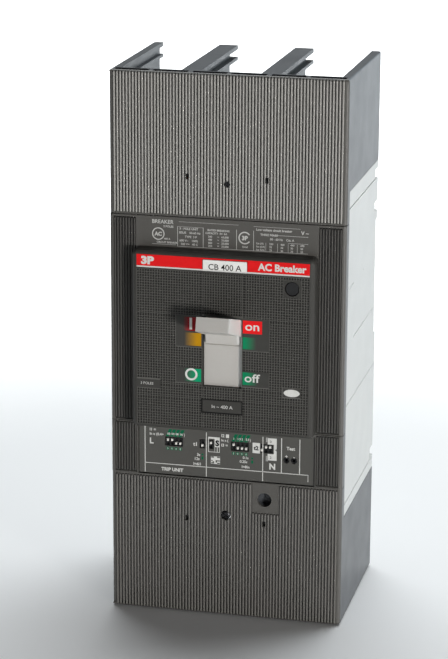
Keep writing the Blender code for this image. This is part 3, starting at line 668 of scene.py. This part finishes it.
def make_escutcheon():
    low, high = corners_of("front_plate")
    front = -low.y
    flat = 50.9
    field_low, field_high = low.z + 2.4, 50.3
    recess = bmesh.new()
    box(recess, (-flat, -front - 1, field_low), (flat, -front + 0.75, field_high))
    plate = combine(shape_of("front_plate"), recess, "DIFFERENCE")
    piece("escutcheon_body", plate, "escutcheon_plastic", replaced=["front_plate"])

    button_low, button_high = corners_of("trip_test_button")
    button = ((button_low.x + button_high.x) / 2, (button_low.z + button_high.z) / 2, 4.3)
    slot = (-12.0, 11.8, -18.0, 24.3)
    rating = (-12.0, 11.8, -33.7, -25.8)
    smooth_zones = [
        (-27.5, -12.0, 5.4, 24.3), (11.8, 27.8, 5.4, 24.3), (-27.5, -12.0, -16.4, -6.9),
        (11.8, 27.8, -16.4, -6.9), (-51.5, -36.8, -21.2, -16.0), (36.0, 46.6, -20.9, -15.5),
    ]
    sheet = make_knurled_sheet(
        front + 0.02, (-flat - 0.05, field_low - 0.05), (flat + 0.05, field_high + 0.05),
        [slot, rating], smooth_zones + [(-12.5, 12.3, 24.0, 26.0)], button,
    )
    piece("escutcheon_knurled_face", sheet, "knurled_plastic", smooth=20.0)
    make_smooth_pads(front + 0.02, smooth_zones, button)
    print_band(front)
    print_fields(front)
    print_signs(front)


def make_smooth_pads(front, zones, button):
    """The dark even grounds of the marks and of the button, a hair proud of the knurled face."""
    x, z, radius = button
    pads = Print(front)
    for zone in zones:
        pads.field(*zone, proud=0.02)
    pads.field(x - 5.2, x + 5.2, z - 5.2, z + 5.2, proud=0.02)
    hole = bmesh.new()
    rod(hole, x, z, front + 1, front - 1, radius)
    pads.bm = combine(pads.bm, hole, "DIFFERENCE")
    pads.finish("escutcheon_pads", "escutcheon_plastic")


def print_band(front):
    """The red header with its white underline, its words and the circuit label."""
    flat = 50.9
    red = Print(front)
    red.field(-flat, flat, 52.2, 58.9)
    window = bmesh.new()
    box(window, (-11.9, -front - 1, 50.0), (14.6, -front + 1, 58.1))
    red.bm = combine(red.bm, window, "DIFFERENCE")
    red.finish("red_band", "red_ink")

    white = Print(front)
    white.field(-flat, -11.9, 51.3, 52.1)
    white.field(14.6, flat, 51.3, 52.1)
    white.finish("band_underline", "white_ink")

    band = Print(front + INK)
    band.text("AC Breaker", 48.8, 53.6, 5.7, "RIGHT", 0.2)
    band.text("3P", -48.2, 53.4, 6.1, "LEFT", 0.34, 1.2)
    band.finish("band_words", "white_ink")

    label_front = -corners_of("label_insert")[0].y
    label = Print(label_front)
    label.text("CB 400 A", 1.3, 52.2, 4.9, "CENTER", 0.02)
    label.finish("label_words", "black_ink")
    lip = Print(label_front)
    lip.field(-12.1, 14.8, 49.8, 51.25)
    lip.finish("label_lip", "escutcheon_plastic")
    line = Print(label_front)
    line.field(-11.9, 14.6, 51.3, 52.1)
    line.finish("label_underline", "white_ink")


def print_fields(front):
    """The coloured grounds beside the handle, and the outline of the rating plate."""
    ground = (67, 67, 64)
    red_on = Print(front + 0.02)
    red_on.field(12.2, 23.5, 15.6, 23.3)
    red_on.finish("on_fields", "red_ink")
    for name, zone, colour, start, end in (
        # The left on field is a dull dark red: painted shadow of the grip.
        ("on_field_left", (-23.1, -12.4, 15.0, 23.2), (150, 10, 24), -19.5, -23.1),
        ("tripped_field", (-23.1, -12.4, 6.1, 13.9), (196, 142, 0), -15.0, -22.5),
        ("tripped_tail", (12.2, 27.3, 6.2, 13.3), (0, 140, 92), 13.5, 20.0),
        ("off_field_left", (-23.1, -12.4, -15.5, -7.7), (0, 162, 112), -15.0, -22.5),
        ("off_field_right", (12.2, 27.5, -15.3, -7.7), (0, 140, 92), 14.5, 21.0),
    ):
        mark = Print(front + 0.02)
        mark.field(*zone)
        mark.finish(name, faded_ink(f"{name}_ink", colour, ground, start, end))

    frame_lines = Print(front + 0.02)
    for z in (-33.8, -25.7):
        frame_lines.line((-12.1, z), (11.9, z), 0.5)
    for x in (-12.1, 11.9):
        frame_lines.line((x, -33.8), (x, -25.7), 0.5)
    frame_lines.finish("rating_plate_outline", "black_ink")


def print_signs(front):
    """The marks of the handle's positions and the small words of the escutcheon."""
    signs = Print(front + 0.02 + INK)
    signs.field(-19.4, -17.9, 15.8, 22.8)
    ring(signs.bm, -18.3, -11.2, 3.7, 2.5, front + 0.02 + 2 * INK, front)
    signs.text("on", 13.4, 17.6, 7.0, "LEFT", 0.1, 1.2)
    signs.text("off", 13.2, -13.4, 7.0, "LEFT", 0.1, 1.2)
    signs.finish("position_signs", "white_ink")

    oval = Print(front)
    half_width, half_height = 4.7, 2.2
    turns = [2 * pi * n / 32 for n in range(32)]
    outline = [(41.3 + half_width * cos(t), -18.3 + half_height * sin(t)) for t in turns]
    loft(oval.bm, [[(x, -depth, z) for x, z in outline] for depth in (front - 0.3, front + 0.3)])
    oval.finish("white_badge", "white_ink")

    faint = Print(front + 0.02)
    faint.field(-51.0, -37.6, -20.4, -16.6, 0.01)
    faint.finish("faint_label", "escutcheon_plastic")
    words = Print(front + 0.03)
    words.text("3 POLES", -45.0, -19.2, 2.2, "CENTER")
    words.finish("faint_label_words", "grey_ink")

    rating = Print(-corners_of("rating_plate")[0].y)
    rating.text("In ~ 400 A", 0.0, -30.8, 2.9, "CENTER")
    rating.finish("rating_words", "white_ink")


# ---------------------------------------------------------------- name field


def print_name_field():
    front = -corners_of("mid_cover")[0].y
    marks = Print(front)
    top, bottom = 73.9, 62.2
    marks.line((-44.3, bottom + 0.7), (-30.2, bottom + 0.7), 0.18)
    marks.line((-29.1, bottom), (47.6, bottom), 0.18)
    for x in (-29.1, -13.9, 5.8, 15.8):
        marks.line((x, bottom), (x, top), 0.26)
    marks.line((-28.2, 76.8), (7.0, 76.8), 0.14)
    marks.line((-29.1, top), (-13.9, top), 0.14)
    marks.line((15.8, top + 2.6), (43.0, top + 2.6), 0.14)
    marks.line((26.5, 72.0), (47.6, 72.0), 0.2)
    marks.line((36.0, 67.8), (47.6, 67.8), 0.16)
    for x in (23.0, 29.9, 36.1, 41.4):
        marks.line((x, bottom), (x, 67.2), 0.18)
    ring(marks.bm, -40.6, 69.0, 3.7, 3.1, front + INK, front - 0.1)
    ring(marks.bm, 10.6, 69.4, 3.7, 3.0, front + INK, front - 0.1, 30, 35.0, 290.0)
    marks.text("AC", -40.6, 67.9, 3.1, "CENTER", 0.14)
    marks.text("3P", 10.6, 68.2, 3.4, "CENTER", 0.16)
    marks.text("BREAKER", -44.4, 75.2, 3.2, "LEFT", 0.03, 0.98)
    marks.text("3 POLES", -37.6, 73.0, 1.7, bold=0.03)
    marks.text("400 A", -37.2, 65.7, 1.5, bold=0.03)
    marks.text("CIRCUIT BREAKER", -41.6, 63.6, 1.5, bold=0.03)
    for x, z, words in ((-28.0, 72.2, "3 - POLE UNIT"), (-28.2, 69.9, "ISSUE    50-60 Hz"),
                        (-24.8, 67.5, "TYPE  3 P"),
                        (-28.0, 65.2, "600 V~    100%"), (-27.2, 63.1, "500 V=   40 C")):
        marks.text(words, x, z, 1.75, bold=0.03)
    marks.text("RATED BREAKING", -11.4, 72.3, 1.6, bold=0.03)
    marks.text("CAPACITY  IN  kA", -12.6, 70.5, 1.6, bold=0.03)
    ratings = (("240", "65.000"), ("480", "35.000"), ("600", "25.000"), ("250", "35.000"))
    for row, (volts, amps) in enumerate(ratings):
        z = 68.5 - 1.85 * row
        marks.text(volts, -11.0, z, 1.6, bold=0.03)
        marks.text("~" if row < 3 else "=", -5.6, z, 1.9, bold=0.03)
        marks.text(amps, -3.2, z, 1.6, bold=0.03)
    marks.text("50/60", 10.8, 63.6, 1.5, "CENTER", 0.02)
    marks.text("Low voltage circuit breaker", 17.3, 74.2, 2.0, bold=0.04, squeeze=0.94)
    marks.text("THREE POLES", 19.8, 71.4, 1.7, bold=0.03)
    marks.text("50 - 60 Hz    Cat. A", 25.4, 69.0, 1.75, bold=0.03)
    rows = (("Ue (V)", "230", "400", "440", "690"), ("Icu (kA)", "70", "36", "30", "20"),
            ("Ics (kA)", "70", "36", "30", "20"))
    for row, cells in enumerate(rows):
        for cell, x in zip(cells, (17.4, 25.0, 31.6, 37.4, 43.2)):
            marks.text(cell, x, 66.2 - 1.85 * row, 1.55, bold=0.03)
    marks.text("V ~", 45.8, 73.2, 3.0, "CENTER", 0.06)
    marks.finish("name_field_print", "grey_ink")


# ---------------------------------------------------------------- trip unit


BANKS = {
    "switch_long": 4, "switch_t1": 1, "switch_short": 1, "switch_inst": 4, "switch_neutral": 3,
}


def bank_box(name, count):
    nodes = [name] if count == 1 else [f"{name}_{n}" for n in range(1, count + 1)]
    corners = [corners_of(node) for node in nodes]
    return min(low.x for low, _ in corners), max(high.x for _, high in corners)


def print_trip_unit():
    front = -corners_of("trip_unit_housing")[0].y
    white = Print(front)
    left, right, top, bottom, middle = -49.4, 49.3, -48.9, -77.0, -71.4
    white.line((left, top), (left, bottom), 0.45)
    white.line((left, middle), (right, middle), 0.4)
    for x, low in ((-12.0, bottom), (22.1, bottom), (33.3, middle), (44.2, middle)):
        white.line((x, top - 1.2), (x, low), 0.45)
    white.line((right, middle), (right, bottom + 1.5), 0.3)
    for words, x, z, size, bold in (
        ("L", -46.7, -59.2, 5.0, 0.14), ("I1 =", -46.6, -51.3, 2.4, 0.05),
        ("In x (0.4+", -46.6, -53.9, 2.2, 0.05),
        ("t1", -19.9, -58.6, 3.2, 0.10), ("3s", -17.8, -64.8, 2.4, 0.05), ("12s", -19.4, -67.4, 2.4, 0.05),
        ("I=6I1", -19.9, -70.6, 2.4, 0.05), ("I2", -3.0, -52.0, 2.6, 0.06),
        ("In x (", -3.0, -54.6, 2.0, 0.05),
        ("I3 =", -3.0, -57.8, 2.5, 0.06), ("0.1s", 10.0, -64.4, 2.2, 0.05), ("0.25s", 8.2, -66.9, 2.2, 0.05),
        ("I=8In", 9.4, -70.1, 2.3, 0.05), ("N", 25.9, -69.5, 5.0, 0.2), ("Test", 36.3, -56.8, 2.8, 0.08),
        ("+", 35.4, -61.9, 2.9, 0.08), ("-", 40.4, -61.9, 2.9, 0.08), ("TRIP UNIT", -39.4, -75.6, 2.9, 0.10),
    ):
        white.text(words, x, z, size, bold=bold)
    white.field(-0.2, 1.7, -52.3, -50.1)
    white.line((-5.4, -58.8), (-5.4, -61.2), 0.35)
    for x in (24.2, 25.0):
        white.line((x, -50.2), (x, -52.8), 0.3)
        white.line((x, -61.6), (x, -64.6), 0.3)
    white.finish("trip_unit_print", "white_ink")

    boxes = Print(front)
    window = bmesh.new()
    boxes.field(-10.9, -3.9, -61.8, -52.4)
    box(window, (-10.5, -front - 1, -61.5), (-7.0, -front + 1, -53.5))
    box(window, (-6.8, -front - 1, -61.5), (-4.2, -front + 1, -58.5))
    boxes.field(-9.2, -3.7, -69.0, -64.3)
    boxes.field(15.9, 20.4, -60.3, -53.9)
    boxes.field(25.0, 30.4, -64.1, -50.4)
    box(window, (23.0, -front - 1, -60.1), (28.7, -front + 1, -54.3))
    cells = 6
    for i in range(cells):
        for k in range(cells):
            if (i * i + 3 * k + i * k) % 5 < 2:
                x, z = -9.0 + 0.87 * i, -68.8 + 0.73 * k
                box(window, (x, -front - 1, z), (x + 0.87, -front + 1, z + 0.73))
    boxes.bm = combine(boxes.bm, window, "DIFFERENCE")
    boxes.finish("trip_unit_boxes", "white_ink")

    black = Print(front + INK)
    black.text("S", -5.4, -57.6, 4.6, "CENTER", 0.25)
    black.text("t2", 18.1, -58.3, 3.4, "CENTER", 0.12)
    black.text("0", 26.8, -53.2, 2.0, "CENTER")
    black.text("2", 26.8, -63.0, 2.0, "CENTER")
    black.text("4", 30.0, -58.2, 2.0, "CENTER")
    black.finish("trip_unit_box_letters", "black_ink")

    green = Print(front)
    pale = Print(front + INK)
    bank_values = (("switch_long", ("02", "04", "08", "16")), ("switch_inst", ("1", "1.5", "2", "5.5")))
    for name, values in bank_values:
        x_low, x_high = bank_box(name, BANKS[name])
        pitch = (x_high - x_low) / (len(values) - 0.6)
        for n, words in enumerate(values):
            x = x_low - 0.35 + pitch * n
            outline = [(x - 0.4, -54.1), (x + 1.5, -54.1), (x + 3.6, -49.6), (x + 1.7, -49.6)]
            loft(green.bm, [[(px, -depth, z) for px, z in outline] for depth in (front + INK, front - 0.1)])
            pale.text(words, x + 0.6, -53.0, 1.8, bold=0.04)
            green.field(x + 0.1, x + 1.7, -62.4, -60.6)
            pale.text("0", x + 0.9, -62.1, 1.6, "CENTER")
        pale.text(")", x_high + 1.6, -53.4, 2.6)
    for x in (-14.9, 15.2):
        green.field(x, x + 1.1, -66.9, -65.0)
        green.field(x, x + 1.1, -64.2, -63.2)
    green.finish("trip_unit_green_fields", "green_ink")
    pale.finish("trip_unit_green_words", "white_ink")


# ---------------------------------------------------------------- handle


def along_handle(pivot, tilt, reach, offset):
    """The (depth, height) of a point, from its reach along the lever and its offset above it."""
    depth = pivot[0] + reach * cos(tilt) - offset * sin(tilt)
    return depth, pivot[1] + reach * sin(tilt) + offset * cos(tilt)


def make_toggle():
    """The grip widens from its tip to the slot; the CAD solid gives the shield and the root block."""
    joint = next(j for j in frame["record"]["behaviour"]["joints"] if j["name"] == "handle_swing")
    origin = Vector(joint["pos_m"]) / MM
    pivot = (-origin.y, origin.z)
    tilt = radians(17.5)
    low, _ = corners_of("toggle_handle")
    tip = (-low.y - pivot[0]) / cos(tilt) - 4.1 * tan(tilt)
    bm = shape_of("toggle_handle")
    shave = bmesh.new()
    facet = 0.6 * (tip - 50.0)
    for side in (-1, 1):
        loops = []
        for reach, x in ((tip - facet, 10.8), (tip + 3, 9.3)):
            loop = []
            for corner_x, offset in ((x, -6.5), (x + 4, -6.5), (x + 4, 6.5), (x, 6.5)):
                depth, height = along_handle(pivot, tilt, reach, offset)
                loop.append((side * corner_x, -depth, height))
            loops.append(loop)
        loft(shave, loops)
    shield = -SHIELD_DEPTH
    grooves = ((-10.6, 10.0, 6.8, 7.5), (-10.6, -10.0, 6.8, 13.5), (9.42, 10.0, 6.8, 13.5))
    for x_low, x_high, z_low, z_high in grooves:
        box(shave, (x_low, shield - 0.4, z_low), (x_high, shield + 1.0, z_high))
    bm = combine(bm, shave, "DIFFERENCE")
    bmesh.ops.scale(bm, vec=(1.035, 1.0, 1.0), verts=bm.verts)
    round_edges(bm, 0.35, 3, long_convex(2.5))
    piece("toggle_grip", bm, "handle_plastic", "handle", ["toggle_handle"])


# ---------------------------------------------------------------- base


def make_base():
    """The base's side walls carry the parting lines, the steps by the covers and two small pin marks."""
    low, high = corners_of("base")
    bm = shape_of("base")
    grooves = bmesh.new()
    for side in (-1, 1):
        x_out = side * (high.x + 1)
        x_in = side * (high.x - 0.35)
        for z, near, far in ((40.0, 96.0, 76.0), (7.0, 79.0, 5.0), (-30.0, 96.0, -1.0)):
            x_pair = sorted((x_out, x_in))
            box(grooves, (x_pair[0], -near, z - 0.22), (x_pair[1], -far, z + 0.22))
        for z_low, z_high in ((87.2, 88.1), (-91.2, -90.4)):
            x_pair = sorted((x_out, side * (high.x - 0.7)))
            box(grooves, (x_pair[0], -96.0, z_low), (x_pair[1], 1.0, z_high))
        for depth, z in ((44.0, 40.0), (45.0, 7.5), (9.5, 72.0)):
            turn = Matrix.Translation((side * high.x, -depth, z)) @ Matrix.Rotation(radians(90), 4, "Y")
            bmesh.ops.create_cone(
                grooves, cap_ends=True, segments=16, radius1=0.7, radius2=0.7, depth=1.2, matrix=turn
            )
    bm = combine(bm, grooves, "DIFFERENCE")
    round_edges(bm, 0.5, 2, long_convex(10.0))
    piece("base_moulding", bm, "light_plastic", replaced=["base"])
    tabs = bmesh.new()
    for side in (-1, 1):
        x_pair = sorted((side * (high.x - 0.5), side * (high.x + 0.1)))
        box(tabs, (x_pair[0], -94.5, 58.5), (x_pair[1], -92.8, 64.5))
    piece("cover_catches", tabs, "light_plastic")


# ---------------------------------------------------------------- small hardware


def make_lower_screw():
    """A pan head with a cross recess, on the CAD screw's shank."""
    low, high = corners_of("lower_cover_screw")
    z = (low.z + high.z) / 2
    front = -low.y
    radius = (high.x - low.x) / 2
    profile = [(0.0, 0.45), (0.55, 0.38), (0.85, 0.12), (1.0, -0.35), (1.0, -1.2)]
    bm = bmesh.new()
    sides = 28
    loops = []
    for share, rise in reversed(profile[1:]):
        turns = [2 * pi * n / sides for n in range(sides)]
        loops.append([(radius * share * cos(t), -front - rise, z + radius * share * sin(t)) for t in turns])
    loft(bm, loops)
    rod(bm, 0, z, front - 1.0, 88, 1.25)
    cross = bmesh.new()
    for angle in (35, 125):
        turn = Matrix.Translation((0, -front, z)) @ Matrix.Rotation(radians(angle), 4, "Y")
        blade = bmesh.ops.create_cube(cross, size=1.0)
        for vert in blade["verts"]:
            vert.co = turn @ Vector((vert.co.x * 3.6, vert.co.y * 1.5, vert.co.z * 0.75))
    head = combine(bm, cross, "DIFFERENCE")
    piece("lower_screw", head, "dark_steel", replaced=["lower_cover_screw"])


def soften(node, width, smooth=40.0):
    """Rounds a CAD node's edges by modifiers; its own mesh stays."""
    obj = frame["nodes"][node]
    weld = obj.modifiers.new("weld", "WELD")
    weld.merge_threshold = WELD * MM
    bevel = obj.modifiers.new("bevel", "BEVEL")
    bevel.width = width * MM
    bevel.segments = 2
    bevel.limit_method = "ANGLE"
    bevel.angle_limit = radians(smooth)
    bevel.use_clamp_overlap = True


SLOT_FINISH = {
    "trip_unit_housing": "trip_face", "rating_plate": "escutcheon_plastic",
    "trip_test_button": "black_plastic",
    "test_socket_plus": "dark_steel", "test_socket_minus": "dark_steel", "upper_cover_screw": "dark_steel",
}


def dress_nodes():
    """Gives every CAD node that shows its finish, and rounds its edges."""
    slots = {part["node"]: part.get("material_slot") for part in frame["record"]["subparts"]}
    for name, obj in frame["nodes"].items():
        finish = SLOT_FINISH.get(name, slots.get(name, "steel"))
        if finish not in FINISHES:
            finish = "steel"
        obj.data.materials.clear()
        obj.data.materials.append(FINISHES[finish])
        if obj.hide_render:
            continue
        knob = name.startswith("switch_") and name != "switch_board"
        soften(name, 0.15 if knob or "socket" in name else 0.3)


make_camera()
make_light()
make_floor()
FINISHES = make_materials()
make_covers()
make_escutcheon()
print_name_field()
print_trip_unit()
make_toggle()
make_base()
make_lower_screw()
dress_nodes()
